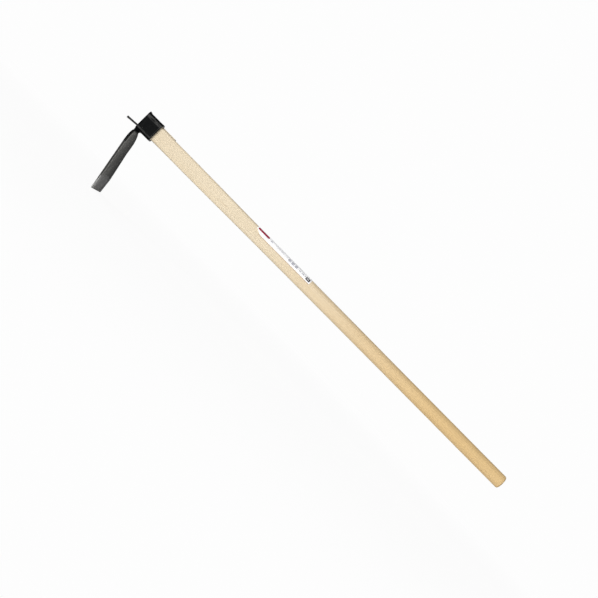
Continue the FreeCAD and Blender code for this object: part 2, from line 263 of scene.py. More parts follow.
def kerf_cutter():
    """A slanting block the shape of the wedge's saw cut."""
    deep = WEDGE_IN + KERF_EXTRA_DEPTH
    share = WEDGE_OUT / (WEDGE_IN + WEDGE_OUT)
    mouth = lerp(WEDGE_THICK, WEDGE_THIN, share) / 2 + KERF_CLEARANCE
    bottom = WEDGE_THIN / 2 + KERF_CLEARANCE
    outline = [(-KERF_OVERSHOOT, mouth), (deep, bottom), (deep, -bottom), (-KERF_OVERSHOOT, -mouth)]
    loops = [[tilted(x, y, z, WEDGE_TILT, (0, 0, WEDGE_MOUTH_Z)) for x, z in outline]
             for y in (-KERF_HALF_WIDTH, KERF_HALF_WIDTH)]
    verts, faces = loft(loops)
    return make_mesh("kerf_cutter", verts, faces)


def handle_mesh():
    """The bar, drawn through its sections to the domed butt, with the kerf cut into its end."""
    angles = [2 * math.pi * i / HANDLE_SIDES for i in range(HANDLE_SIDES)]
    loops = []
    for inset, along in NOSE_STEPS:
        loops.append([handle_point(NOSE_X + along, a, -inset) for a in angles])
    for x in spread(6.0, GRIP_X, 150) + spread(GRIP_X + 6.0, BUTT_START_X, 50):
        loops.append([handle_point(x, a) for a in angles])
    for x, radius in butt_profile():
        loops.append([Vector((x, 0, 0)) + (handle_point(GRIP_X, a) - Vector((GRIP_X, 0, 0)))
                      * radius / GRIP_RADIUS for a in angles])
    verts, faces = loft(loops)
    obj = make_mesh("handle_bar", verts, faces)
    cutter = kerf_cutter()
    cut = obj.modifiers.new("kerf", "BOOLEAN")
    cut.operation, cut.solver, cut.object = "DIFFERENCE", "EXACT", cutter
    graph = bpy.context.evaluated_depsgraph_get()
    mesh = bpy.data.meshes.new_from_object(obj.evaluated_get(graph))
    obj.modifiers.clear()
    obj.data = mesh
    bpy.data.objects.remove(cutter)
    shade(mesh, 32)
    return obj


def shim_mesh():
    """A thin slip whose end behind the socket is cut down to a feather edge."""
    body = [(x, SHIM_HIGH) for x in [2.0, 2.3] + spread(6, 72, 12) + [75.6]]
    feather = [(76.5, 18.3), (SHIM_END, SHIM_LOW + 0.15)]
    loops = []
    for x, top in body + feather:
        height = top - SHIM_LOW
        loop = rounded_loop(height, 2 * SHIM_HALF_WIDTH, 0.07 if height < 1 else 0.25,
                            (top + SHIM_LOW) / 2, 3, 6)
        loops.append([Vector((x, y + 0.10 * wobble((x, y, z), 9.0, 5.0), z)) for y, z, _, _ in loop])
    verts, faces = loft(loops)
    return make_mesh("packing_slip", verts, faces)


def label_mesh():
    """A thin sheet over the handle's top: its upper skin and its underside, joined at the rims."""
    rows = spread(LABEL_START, LABEL_END, 60)
    loops = []
    for row, x in enumerate(rows):
        _, width, _ = handle_size(x)
        cut = max(1 - (x - LABEL_START) / LABEL_CORNER_LENGTH, 0.0)
        low = LABEL_LOW_Z + LABEL_CORNER_HEIGHT * cut + 0.12 * wobble((x, 0, 0), 14.0, 2.0)
        first = math.atan2(low, width / 2)
        angles = spread(first, math.pi - first, 49)
        end = 0.12 if row in (0, len(rows) - 1) else 0.0
        crease = 0.05 * wobble((x, 0, 0), 6.0, 4.0)
        skin = [handle_point(x, a, 0.20 + crease * math.sin(a) - end) for a in angles]
        under = [handle_point(x, a, 0.02) for a in reversed(angles)]
        loops.append(skin + under)
    verts, faces = loft(loops)
    return make_mesh("paper_band", verts, faces, sharp=50)


# ---------------------------------------------------------------- socket and its welds


def ring_profile():
    """(x, height above the socket's inner face) once round the strap's cross-section."""
    wall, rear = RING_WALL, RING_LENGTH
    outer = [(0.30, 0.15), (0.05, 0.5), (0.0, 1.2), (0.0, wall + 0.5), (0.12, wall + 0.9),
             (0.45, wall + 1.08), (0.9, wall + 0.95), (1.5, wall + 0.55), (2.1, wall + 0.2),
             (2.9, wall)]
    outer += [(x, wall) for x in spread(5.0, rear - 4.5, 16)]
    outer += [(rear - 2.6, wall + 0.04), (rear - 1.5, wall + 0.25), (rear - 0.8, wall + 0.38),
              (rear - 0.25, wall + 0.2), (rear, wall - 0.2), (rear, 0.8), (rear - 0.2, 0.1)]
    inner = [(x, 0.0) for x in spread(rear - 1.0, 1.2, 10)]
    return outer + inner


def ring_mesh():
    """The strap: its cross-section carried round the socket, hammered on the outside only."""
    profile = ring_profile()
    base = rounded_loop(SOCKET_HEIGHT, SOCKET_WIDTH, SOCKET_CORNER, SOCKET_MIDDLE, 10, 14)
    loops = []
    for y, z, ny, nz in base:
        loop = []
        for x, out in profile:
            outside = min(max(out - 1.5, 0) / (RING_WALL - 1.5), 1.0)
            place = (x, y, z)
            hammer = 0.13 * wobble(place, 7.0, 1.0) + 0.05 * wobble(place, 2.6, 6.0) - 0.06
            rim = 0.22 * wobble((0, y, z), 6.5, 9.0) * (1.0 if x < 3 or x > RING_LENGTH - 3 else 0.0)
            grow = out + hammer * outside
            lifted = FRONT_LIP_RAISE * max(out - RING_WALL, 0.0) if x < 3 else 0.0
            loop.append(Vector((x + rim * outside * (0.5 if x < 3 else 1.0),
                                y + ny * grow, z + nz * grow + lifted)))
        loops.append(loop)
    loops.append(loops[0])
    verts, faces = loft(loops, caps=False)
    return make_mesh("socket_strap", verts, faces, sharp=45)


def resampled(points, step):
    """Points a fixed distance apart along a polyline."""
    out, carried = [points[0].copy()], 0.0
    for a, b in zip(points, points[1:]):
        length = (b - a).length
        at = step - carried
        while at <= length:
            out.append(a.lerp(b, at / length))
            at += step
        carried = length - (at - step)
    return out


def bead_mesh(name, path, up, radius, ripple, depth, around=20):
    """A weld bead along a path: curved ripples, uneven width and rounded ends.

    up(point) is the direction away from the joined surfaces; ripple and depth are the ripples'
    spacing and their share of the radius.
    """
    step = BEAD_STEP
    points = resampled(path, step)
    length = (len(points) - 1) * step
    loops = []
    for i, point in enumerate(points):
        ahead = points[min(i + 1, len(points) - 1)] - points[max(i - 1, 0)]
        along = ahead.normalized()
        normal = up(point)
        normal = (normal - along * normal.dot(along)).normalized()
        side = along.cross(normal)
        s = i * step
        end = min(s, length - s)
        taper = math.sqrt(max(1 - ((radius - min(end, radius)) / radius) ** 2, 0.02))
        width = radius * taper * (1 + 0.07 * wobble(point, 5.0, 7.0))
        loop = []
        for k in range(around):
            a = 2 * math.pi * k / around
            lag = s - 0.55 * radius * (1 - math.cos(a))
            phase = (lag / ripple + 0.25 * wobble(point, 6.0, 12.0)) % 1.0
            r = width * (1 - depth * phase ** 1.6)
            loop.append(point + normal * r * math.cos(a) + side * r * math.sin(a))
        loops.append(loop)
    verts, faces = loft(loops)
    return make_mesh(name, verts, faces, sharp=60)


def smoothed(points, rounds):
    """A polyline with its corners relaxed; both ends stay."""
    for _ in range(rounds):
        points = [points[0]] + [(a + b * 2 + c) / 4 for a, b, c in zip(points, points[1:], points[2:])] \
            + [points[-1]]
    return points


def seam_bead():
    centre_z = RING_BOTTOM - SEAM_PROUD + SEAM_RADIUS
    path = [Vector((x, 0.12 * wobble((x, 0, 0), 8.0, 3.0), centre_z))
            for x in spread(0.9, RING_LENGTH - 0.9, 30)]
    down = Vector((0, 0, -1))
    return bead_mesh("seam_bead", path, lambda p: down, SEAM_RADIUS, ripple=1.7, depth=0.07)


def ring_underside(y):
    """Height of the ring's outer face at a distance from the middle plane, on its lower half."""
    bend = max(abs(y) - (RING_HALF_WIDTH - RING_OUTER_CORNER), 0.0)
    return RING_BOTTOM + RING_OUTER_CORNER - math.sqrt(max(RING_OUTER_CORNER ** 2 - bend ** 2, 0.0))


def neck_bead():
    """Along one cheek, down and across behind the root, and back along the other cheek."""
    top = RING_OUTER_CORNER - (NECK_TOP_Z - RING_BOTTOM)
    reach = math.sqrt(RING_OUTER_CORNER ** 2 - top ** 2)
    flat = RING_HALF_WIDTH - RING_OUTER_CORNER
    highest = math.asin(reach / RING_OUTER_CORNER)
    turn = []
    for a in spread(-highest, highest, 60):
        bend = flat * max(-1.0, min(1.0, a / highest * 1.6))
        turn.append(Vector((NECK_BACK_X, bend + RING_OUTER_CORNER * math.sin(a),
                            RING_BOTTOM + RING_OUTER_CORNER * (1 - math.cos(a)))))
    for point in turn:
        point.z = ring_underside(point.y)
    near = [Vector((x, turn[0].y, turn[0].z)) for x in spread(3.4, NECK_BACK_X - 0.6, 14)]
    far = [Vector((p.x, -p.y, p.z)) for p in reversed(near)]
    path = smoothed(resampled(near + turn + far, 0.5), 6)

    def away(p):
        return Vector(((p.x - 9.0) * 0.5, p.y * 0.6, min(p.z - NECK_TOP_Z, 0.0) * 1.2 - 0.2))

    return bead_mesh("neck_bead", path, away, NECK_BEAD_RADIUS, ripple=1.4, depth=0.11)


def cheek_inset(edge):
    """How far the neck is drawn in at this distance from its side, to break its corners."""
    if edge < 1e-6:
        return 0.5
    return 0.12 if edge < 0.7 else 0.0


def neck_mesh():
    """The saddle under the socket, lofted across Y, that widens down to the blade's top."""
    through = Vector((math.cos(BLADE_LEAN), 0, math.sin(BLADE_LEAN)))
    foot = BLADE_TOP + through * NECK_FOOT_SHIFT
    foot_front = foot - through * NECK_FOOT_THICKNESS / 2
    foot_back = foot + through * NECK_FOOT_THICKNESS / 2
    root_back = Vector((NECK_BACK_X, 0, RING_BOTTOM))
    chord = root_back - foot_back
    hollow = Vector((-chord.z, 0, chord.x)).normalized() * NECK_BACK_SAG
    loops = []
    foot_half = NECK_FOOT_HALF - NECK_TOP_HALF
    for y in spread(-NECK_TOP_HALF, NECK_TOP_HALF, 49):
        inset = cheek_inset(NECK_TOP_HALF - abs(y))
        roof = min(ring_underside(min(abs(y), RING_HALF_WIDTH)) + 0.6, NECK_TOP_Z)
        if abs(y) > RING_HALF_WIDTH - 0.4:
            roof = NECK_TOP_Z
        top = Vector((NECK_FRONT_X, 0, roof))
        loop = [top.lerp(foot_front, i / 7) for i in range(8)]
        loop += [foot_front.lerp(foot_back, i / 4) for i in range(1, 4)]
        for i in range(9):
            share = i / 8
            loop.append(foot_back.lerp(root_back, share) + hollow * 4 * share * (1 - share))
        back = Vector((NECK_BACK_X, 0, roof))
        loop += [root_back.lerp(back, i / 4) for i in range(1, 5)]
        loop += [back.lerp(top, i / 6) for i in range(1, 6)]
        middle = sum(loop, Vector()) / len(loop)
        points = []
        for p in loop:
            flare = foot_half * (NECK_TOP_Z - p.z) / (NECK_TOP_Z - BLADE_TOP.z)
            place = Vector((p.x, y * (1 + flare / NECK_TOP_HALF), p.z))
            inward = (middle - p).normalized()
            dent = inset + 0.10 * (wobble(place, 5.0, 4.0) + 1.0) * (0 if p.z > roof - 0.3 else 1)
            points.append(place + Vector((inward.x, 0, inward.z)) * dent)
        loops.append(points)
    verts, faces = loft(loops)
    return make_mesh("neck_root", verts, faces, sharp=42)


# ---------------------------------------------------------------- blade


def in_blade(x, y, z):
    return tilted(x, y, z, BLADE_LEAN, BLADE_TOP)


def blade_half_width(down):
    if down < SHOULDER_RADIUS:
        rise = SHOULDER_RADIUS - down
        return BLADE_TOP_HALF + math.sqrt(max(SHOULDER_RADIUS ** 2 - rise ** 2, 0.0))
    wide = BLADE_TOP_HALF + SHOULDER_RADIUS
    share = (down - SHOULDER_RADIUS) / (BLADE_LENGTH - SHOULDER_RADIUS)
    width = lerp(wide, BLADE_EDGE_HALF, share)
    corner = down - (BLADE_LENGTH - BLADE_CORNER)
    if corner > 0:
        width -= BLADE_CORNER - math.sqrt(max(BLADE_CORNER ** 2 - corner ** 2, 0.0))
    return width


def inner_face(down):
    """The blade's inner face: thick at the root, then flat, then ground towards the edge."""
    if down < ROOT_END:
        share = min((ROOT_END - down) / (ROOT_END - ROOT_FLAT), 1.0)
        return BLADE_HALF_THICKNESS + ROOT_EXTRA * share * share * (3 - 2 * share)
    ground = max(down - (BLADE_LENGTH - STEEL_LENGTH), 0.0) / STEEL_LENGTH
    return lerp(BLADE_HALF_THICKNESS, -BLADE_HALF_THICKNESS + EDGE_THICKNESS, ground)


def steel_bed(down):
    """The plane between the plate and the edge steel."""
    low = -BLADE_HALF_THICKNESS + EDGE_THICKNESS / 2
    rise = 2 * BLADE_HALF_THICKNESS - EDGE_THICKNESS / 2 - STEEL_THICKNESS
    return low + rise * (BLADE_LENGTH - down) / STEEL_LENGTH


def forge(y, down):
    """Hammer marks, the same for the plate and the steel so that they stay flush."""
    place = (y, down, 0)
    return 0.16 * wobble(place, 21.0, 2.0) + 0.06 * wobble(place, 7.0, 5.0) - 0.03


def blade_loop(down, low, high, inset=0.0, bow=0.0, trim=0.5):
    """One closed loop across a layer of the blade at a distance below its top edge.

    low and high give the layer's outer and inner surfaces; bow lifts the loop's middle.
    """
    columns = 46
    width = blade_half_width(down) - inset
    trim = min(trim, (high(down) - low(down)) * 0.3)

    def point(y, x):
        at = down - bow * (1 - min(abs(y) / BLADE_EDGE_HALF, 1.0) ** 2)
        return in_blade(x(at) + forge(y, at), y, -at)

    def rim(side, layer, inward, shares):
        """Round the layer's edge on one side, inwards from a surface."""
        return [point(side * (width - trim * (1 - a)), lambda d, a=a: layer(d) + inward * trim * a * a)
                for a in shares]

    flat = spread(-(width - trim), width - trim, columns)
    out_to_edge, back_in = (0.35, 0.75), (0.75, 0.35)
    loop = [point(y, high) for y in flat]
    loop += rim(1, high, -1, out_to_edge) + rim(1, low, 1, back_in)
    loop += [point(y, low) for y in reversed(flat)]
    loop += rim(-1, low, 1, out_to_edge) + rim(-1, high, -1, back_in)
    return loop


def outer_face(_):
    """The blade's outer face, which is flat all the way down."""
    return -BLADE_HALF_THICKNESS


def blade_rows():
    """Distances below the top edge, close together where the outline turns."""
    shoulder = [SHOULDER_RADIUS * (1 - math.cos(a)) for a in spread(0, math.pi / 2, 26)]
    side = spread(SHOULDER_RADIUS, BLADE_LENGTH - STEEL_LENGTH, 30)[1:]
    return shoulder, side


def steel_rows():
    return spread(BLADE_LENGTH - STEEL_LENGTH, BLADE_LENGTH - 3.0, 14) + [
        BLADE_LENGTH - d for d in (2.4, 1.8, 1.2, 0.7, 0.3, 0.08)]


def row_bow(down):
    """How far the rows follow the bowed weld line: fully on the line, not at all far from it."""
    line = BLADE_LENGTH - STEEL_LENGTH
    if down <= line:
        share = max(1 - (line - down) / 45.0, 0.0)
    else:
        share = max(1 - (down - line) / 24.0, 0.0)
    return STEEL_BOW * share * share * (3 - 2 * share)


def plate_mesh():
    """The blade from its top edge down, thinned over the last rows where the edge steel lies."""
    shoulder, side = blade_rows()
    loops = [blade_loop(0.0, lambda d: -1.4, lambda d: 2.7, 0.6),
             blade_loop(0.12, outer_face, inner_face, 0.2)]
    for down in shoulder[2:] + side:
        loops.append(blade_loop(down, outer_face, inner_face, bow=row_bow(down)))
    for down in steel_rows():
        loops.append(blade_loop(down, outer_face, steel_bed, bow=row_bow(down), trim=0.3))
    verts, faces = loft(loops)
    return make_mesh("blade_body", verts, faces, sharp=35)


def steel_mesh():
    """The inlaid strip along the cutting edge, on the same rows as the plate under it."""
    loops = []
    for i, down in enumerate(steel_rows()):
        loops.append(blade_loop(down, steel_bed, inner_face, bow=row_bow(down),
                                inset=0.0 if i else 0.05, trim=0.25))
    verts, faces = loft(loops)
    return make_mesh("edge_layer", verts, faces, sharp=35)


def blade_bead():
    half = BLADE_BEAD_HALF
    centre = in_blade(NECK_FOOT_SHIFT, 0, -BLADE_BEAD_DROP)
    path = [centre + Vector((0.10 * wobble((0, y, 0), 7.0, 5.0), y, 0))
            for y in spread(-half, half, 40)]
    outward = Vector((-1.0, 0, -0.15))
    return bead_mesh("blade_bead", path, lambda p: outward, BLADE_BEAD_RADIUS,
                     ripple=1.9, depth=0.07, around=32)


# ---------------------------------------------------------------- wedge


def wedge_mesh():
    """A tapering bar with a battered, slightly spread struck end."""
    loops = []
    stations = WEDGE_HEAD_STATIONS + [
        (x, lerp(WEDGE_THICK, WEDGE_THIN, (x + WEDGE_OUT) / (WEDGE_IN + WEDGE_OUT)), 15.95)
        for x in spread(-24.6, WEDGE_IN - 1.0, 40)] + WEDGE_TIP_STATIONS
    for x, thick, width in stations:
        loop = []
        for y, z, ny, nz in rounded_loop(thick - 0.02, width - 0.02, WEDGE_ROUNDING, 0, 4, 14):
            place = (x, y, z)
            dent = 0.04 * (1 + wobble(place, 5.5, 6.0)) + 0.03 * (1 + wobble(place, 2.0, 3.0))
            swell = 0.0 if x > -26.1 else 0.18 * wobble((0, y, z), 3.5, 1.0)
            battered = 0.25 * wobble((0, y, z), 3.0, 9.0) if x < -27.6 else 0.0
            loop.append(tilted(x + max(battered, 0.0), y - ny * dent + ny * swell,
                               z - nz * dent * 0.6 + nz * swell * 0.4,
                               WEDGE_TILT, (0, 0, WEDGE_MOUTH_Z)))
        loops.append(loop)
    verts, faces = loft(loops)
    return make_mesh("iron_wedge", verts, faces, sharp=40)


# ---------------------------------------------------------------- materials


class Graph:
    """The node tree of a material or a world, with short ways to add and link nodes."""

    def __init__(self, owner):
        owner.use_nodes = True
        self.owner = owner
        self.tree = owner.node_tree
        self.tree.nodes.clear()

    def add(self, kind, inputs=None, **settings):
        node = self.tree.nodes.new("ShaderNode" + kind)
        for key, value in settings.items():
            setattr(node, key, value)
        for key, value in (inputs or {}).items():
            if isinstance(value, bpy.types.NodeSocket):
                self.tree.links.new(value, node.inputs[key])
            else:
                node.inputs[key].default_value = value
        return node

    def math(self, operation, a, b=0.0, c=0.0):
        return self.add("Math", {0: a, 1: b, 2: c}, operation=operation).outputs[0]

    def plus(self, a, b):
        return self.math("ADD", a, b)

    def minus(self, a, b):
        return self.math("SUBTRACT", a, b)

    def times(self, a, b):
        return self.math("MULTIPLY", a, b)

    def length(self, a, b):
        """The length of a vector with these two parts."""
        return self.math("SQRT", self.plus(self.math("POWER", a, 2.0), self.math("POWER", b, 2.0)))

    def axes(self):
        """The piece's own coordinates in metres, as they are in the row frame at rest."""
        place = self.add("TexCoord").outputs["Object"]
        split = self.add("SeparateXYZ", {0: place})
        return place, split.outputs

    def noise(self, place, scale, detail=3.0, roughness=0.5, offset=(0, 0, 0)):
        """Noise between 0 and 1; scale is features per metre along each axis."""
        moved = self.add("Mapping", {"Vector": place, "Scale": scale, "Location": offset}).outputs[0]
        return self.add("TexNoise", {"Vector": moved, "Scale": 1.0, "Detail": detail,
                                     "Roughness": roughness}).outputs[0]

    def remap(self, value, low, high, to_low=0.0, to_high=1.0, smooth=False):
        kind = "SMOOTHSTEP" if smooth else "LINEAR"
        return self.add("MapRange", {0: value, 1: low, 2: high, 3: to_low, 4: to_high},
                        interpolation_type=kind).outputs[0]

    def mix(self, share, a, b, blend="MIX"):
        node = self.add("Mix", data_type="RGBA", blend_type=blend)
        for index, value in ((0, share), (6, a), (7, b)):
            if isinstance(value, bpy.types.NodeSocket):
                self.tree.links.new(value, node.inputs[index])
            elif index:
                node.inputs[index].default_value = (*value, 1.0)
            else:
                node.inputs[index].default_value = value
        return node.outputs[2]

    def bump(self, height, strength, distance):
        return self.add("Bump", {"Height": height, "Strength": strength,
                                 "Distance": distance}).outputs[0]

    def surface(self, colour, roughness, metallic=0.0, normal=None, **more):
        inputs = {"Base Color": colour, "Roughness": roughness, "Metallic": metallic}
        if normal is not None:
            inputs["Normal"] = normal
        inputs.update({key.replace("_", " "): value for key, value in more.items()})
        shader = self.add("BsdfPrincipled", inputs)
        self.add("OutputMaterial", {"Surface": shader.outputs[0]})
        return self.owner


def rgb(red, green, blue):
    """Linear colour from display values between 0 and 255."""
    def linear(value):
        value /= 255
        return value / 12.92 if value <= 0.04045 else ((value + 0.055) / 1.055) ** 2.4
    return linear(red), linear(green), linear(blue)


def wood(name, pale, tan, pith=(0.030, -0.085), contrast=1.0, fibre_streak_and_label_shadow=False):
    """Long-grained wood: growth rings round a pith, fibres, pores and a tone that deepens with X.

    A switch adds two marks to the handle's -Y side: a short dark fibre, and a painted shadow, a dark
    line on the wood just under the label's lower edge.
    """
    g = Graph(bpy.data.materials.new(name))
    place, axis = g.axes()
    wander = g.noise(place, (2.2, 14, 14), 2.0)
    slow = g.noise(place, (5.0, 60, 60), 2.0, offset=(3, 1, 2))
    y = g.plus(axis[1], g.times(g.minus(wander, 0.5), 0.022))
    z = g.plus(axis[2], g.times(g.minus(slow, 0.5), 0.006))
    far = g.length(g.minus(y, pith[0]), g.minus(z, pith[1]))
    phase = g.math("FRACT", g.math("DIVIDE", far, 0.0031))
    late = g.times(g.remap(phase, 0.35, 0.92, smooth=True),
                   g.remap(phase, 1.0, 0.93, smooth=True))
    fibre = g.noise(place, (30, 1500, 1500), 4.0, 0.65)
    coarse = g.noise(place, (9, 330, 330), 3.0, 0.6, offset=(7, 0, 4))
    pores = g.remap(g.noise(place, (130, 2300, 2300), 2.0, 0.5, offset=(1, 5, 9)), 0.60, 0.72)
    patch = g.noise(place, (7, 45, 45), 2.0, offset=(5, 5, 0))
    along = g.remap(axis[0], 0.30, 0.88, smooth=True)
    base = g.mix(along, pale, tan)
    darker = g.mix(1.0, base, (0.84, 0.76, 0.62), "MULTIPLY")
    share = g.times(late, 0.34 * contrast)
    share = g.plus(share, g.times(g.remap(coarse, 0.42, 0.78), 0.26 * contrast))
    share = g.plus(share, g.times(g.remap(fibre, 0.4, 0.8), 0.08 * contrast))
    share = g.plus(share, g.times(g.minus(patch, 0.5), 0.35 * contrast))
    colour = g.mix(g.math("MINIMUM", g.math("MAXIMUM", share, 0.0), 1.0), base, darker)
    colour = g.mix(g.times(pores, 0.06), colour, (0.30, 0.20, 0.10))
    if fibre_streak_and_label_shadow:
        thin = g.noise(place, (9, 0, 0), 1.0)
        line_z = g.plus(axis[2], g.times(thin, 0.004))
        line = g.remap(g.math("ABSOLUTE", g.minus(line_z, -0.0018)), 0.0005, 0.0001)
        span = g.remap(g.math("ABSOLUTE", g.minus(axis[0], 0.238)), 0.019, 0.008, smooth=True)
        side = g.math("LESS_THAN", axis[1], 0.0)
        mark = g.times(g.times(line, span), g.times(side, 0.55))
        colour = g.mix(mark, colour, rgb(150, 110, 66))
        # painted shadow: a dark line on the wood just under the label's lower edge
        below = g.minus(LABEL_LOW_Z * MM, axis[2])
        label_edge_shadow = g.times(g.remap(below, 0.0028, 0.0008), g.math("GREATER_THAN", below, -0.001))
        ends = g.times(g.math("GREATER_THAN", axis[0], 0.334), g.math("LESS_THAN", axis[0], 0.480))
        label_edge_shadow = g.times(g.times(label_edge_shadow, ends), g.times(side, 0.38))
        colour = g.mix(label_edge_shadow, colour, rgb(140, 96, 70))
    height = g.minus(g.times(fibre, 0.6), pores)
    normal = g.bump(height, 0.06, 0.00006)
    rough = g.remap(coarse, 0.3, 0.8, 0.52, 0.66)
    return g.surface(colour, rough, normal=normal, Specular_IOR_Level=0.25)


def black_paint(name, bend_highlights=False, gloss=0.09):
    """Black paint on hammered steel, worn thin in spots.

    A switch adds two painted highlights, paler bands along the strap's upper and lower rounded
    corners; gloss sets how much it reflects.
    """
    g = Graph(bpy.data.materials.new(name))
    place, axis = g.axes()
    cloud = g.noise(place, (130, 130, 130), 4.0, 0.6)
    grain = g.noise(place, (900, 900, 900), 3.0, 0.6, offset=(2, 2, 2))
    dents = g.noise(place, (260, 260, 260), 2.0, 0.45, offset=(6, 1, 3))
    base = g.mix(cloud, (0.0016, 0.0019, 0.0024), (0.0046, 0.0050, 0.0054))
    rub = g.remap(g.noise(place, (420, 420, 420), 5.0, 0.7, offset=(9, 4, 1)), 0.66, 0.74)
    rub = g.times(rub, 0.25)
    colour = g.mix(rub, base, (0.05, 0.047, 0.043))
    if bend_highlights:
        # painted highlights: paler bands along the strap's upper and lower rounded corners
        patchy = g.remap(g.noise(place, (90, 300, 500), 3.0, 0.6, offset=(4, 7, 2)), 0.30, 0.62)
        for height, half, share in ((0.0155, 0.0046, 0.62), (-0.0157, 0.0023, 0.52)):
            away = g.math("ABSOLUTE", g.minus(axis[2], height))
            line = g.remap(away, half, half * 0.3, smooth=True)
            highlight_band = g.times(g.times(line, patchy), share)
            colour = g.mix(highlight_band, colour, (0.095, 0.095, 0.092))
    rough = g.remap(grain, 0.25, 0.75, 0.24, 0.34)
    height = g.plus(g.times(dents, 0.8), g.times(grain, 0.25))
    normal = g.bump(height, 0.30, 0.00012)
    return g.surface(colour, rough, normal=normal, Specular_IOR_Level=gloss)


def blade_axes(g):
    """Coordinates in the blade's own frame: outwards from its face, across, and down from its top."""
    place, axis = g.axes()
    cos, sin = math.cos(BLADE_LEAN), math.sin(BLADE_LEAN)
    x = g.minus(axis[0], BLADE_TOP.x * MM)
    z = g.minus(axis[2], BLADE_TOP.z * MM)
    out = g.plus(g.times(x, cos), g.times(z, sin))
    down = g.minus(g.times(x, sin), g.times(z, cos))
    return place, out, axis[1], down


def painted_side_shade(g, across):
    """How much painted shade darkens the blade's colour towards +Y, from 0 at the -Y side to nearly 1.
    """
    return g.remap(across, -0.058, 0.046, 0.0, 0.95)


# how far below its top edge the blade is painted, in metres
PAINTED_OUTSIDE, PAINTED_INSIDE = 0.031, 0.0025


def rim_distance(g, across, down):
    """How far in from the blade's outline a point of its face lies: shoulders, then sides."""
    off_axis = g.minus(g.math("ABSOLUTE", across), BLADE_TOP_HALF * MM)
    shoulder = g.minus(SHOULDER_RADIUS * MM, g.length(off_axis, g.minus(down, SHOULDER_RADIUS * MM)))
    wide = BLADE_TOP_HALF + SHOULDER_RADIUS
    flare = (BLADE_EDGE_HALF - wide) / (BLADE_LENGTH - SHOULDER_RADIUS)
    half_width = g.math("MULTIPLY_ADD", down, flare, (wide - flare * SHOULDER_RADIUS) * MM)
    side = g.minus(half_width, g.math("ABSOLUTE", across))
    below_shoulder = g.remap(down, SHOULDER_RADIUS * MM, 0.045, 0, 0.06)
    return g.math("MINIMUM", side, g.plus(shoulder, below_shoulder))


def forged_steel(name):
    """Scaled dark steel, black paint over its top edge and outer face, painted shade in the middle.

    The bright -Y rim is a painted highlight and the dark +Y half is painted shade; the lights do not
    make them.
    """
    g = Graph(bpy.data.materials.new(name))
    place, out, across, down = blade_axes(g)
    cloud = g.noise(place, (60, 60, 60), 5.0, 0.6)
    fine = g.noise(place, (700, 700, 700), 4.0, 0.6, offset=(3, 8, 1))
    brushed = g.noise(place, (1800, 70, 1800), 3.0, 0.6, offset=(2, 4, 0))
    scale = g.mix(g.remap(cloud, 0.3, 0.7), (0.128, 0.129, 0.123), (0.213, 0.214, 0.203))
    scale = g.mix(g.times(brushed, 0.30), scale, (0.30, 0.30, 0.285))
    # painted shade: the blade darkened between about 40 and 110 mm below its top
    shaded_middle = g.times(g.remap(down, 0.038, 0.064), g.remap(down, 0.112, 0.086))
    scale = g.mix(g.times(shaded_middle, 0.30), scale, (0.06, 0.06, 0.057))
    facing = g.add("SeparateXYZ", {0: g.add("TexCoord").outputs["Normal"]}).outputs
    rim = g.remap(g.math("ABSOLUTE", facing[1]), 0.5, 0.85)
    scale = g.mix(g.times(rim, 0.85), scale, (0.012, 0.012, 0.0115))
    # painted shade: the blade darkened towards its +Y side
    scale = g.mix(painted_side_shade(g, across), scale, (0.008, 0.008, 0.0078))
    from_rim = rim_distance(g, across, down)
    # painted highlight: a bright band along the blade's -Y rim
    lit_rim = g.times(g.remap(from_rim, 0.016, 0.003, smooth=True), g.remap(across, 0.004, -0.016))
    lit_rim = g.times(lit_rim, g.minus(0.42, g.times(rim, 0.42)))
    scale = g.mix(lit_rim, scale, (0.42, 0.42, 0.40))
    pits = g.remap(fine, 0.62, 0.72)
    scale = g.mix(g.times(pits, 0.6), scale, (0.045, 0.04, 0.036))
    ragged = g.times(g.minus(cloud, 0.5), 0.010)
    edge = g.plus(down, ragged)
    inner = g.times(g.math("GREATER_THAN", out, 0.0017), g.remap(from_rim, 0.0010, 0.0017))
    limit = g.remap(inner, 0.0, 1.0, PAINTED_OUTSIDE, PAINTED_INSIDE)
    painted = g.remap(g.minus(limit, edge), -0.0012, 0.0012, smooth=True)
    colour = g.mix(painted, scale, g.mix(cloud, (0.0030, 0.0031, 0.0035), (0.0075, 0.0073, 0.0070)))
    bare = g.minus(1.0, painted)
    metal = g.times(bare, 0.20)
    rough = g.plus(g.remap(fine, 0.3, 0.7, 0.52, 0.66), g.times(painted, -0.16))
    height = g.plus(g.times(cloud, 0.6), g.times(fine, 0.35))
    normal = g.bump(g.plus(height, g.times(brushed, 0.25)), 0.25, 0.00015)
    return g.surface(colour, rough, metal, normal, Specular_IOR_Level=0.12)


